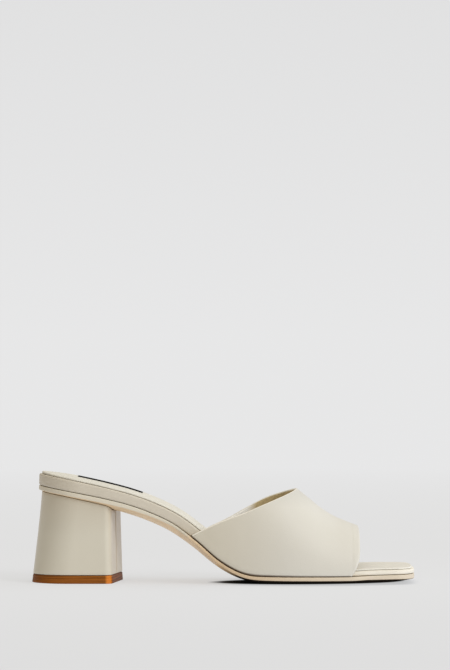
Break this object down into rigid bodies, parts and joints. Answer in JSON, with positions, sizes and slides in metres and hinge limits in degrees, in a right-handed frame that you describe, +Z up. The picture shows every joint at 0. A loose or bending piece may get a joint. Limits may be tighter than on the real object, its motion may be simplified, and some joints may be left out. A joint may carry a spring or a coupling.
{
  "type": "mid heel shoe",
  "caption": "Backless square-toe mule sandal with one wide leather band over the instep, a wrapped padded footbed and a covered block heel.",
  "frame": {"origin": "on the floor, under the middle of the shoe's footprint", "axes": "+X from heel to toe, +Z up, +Y to the wearer's left, which is the inner side of this right shoe"},
  "size_m": [0.2414, 0.0796, 0.0702],
  "materials": {
    "cream_upper_leather": "smooth, softly glossy",
    "cream_footbed_leather": "fine grain, matt",
    "cream_sock_leather": "smooth, padded",
    "tan_outsole": "buffed tan underside, cream painted edge",
    "cream_heel_leather": "smooth, stretched over the block",
    "brown_top_lift": "burnished, fine layers"
  },
  "bodies": {
    "root": {"upper": "cream_upper_leather", "footbed": "cream_footbed_leather", "insole_sock": "cream_sock_leather", "outsole": "tan_outsole", "heel_block": "cream_heel_leather", "heel_top_lift": "brown_top_lift"}
  },
  "joints": []
}
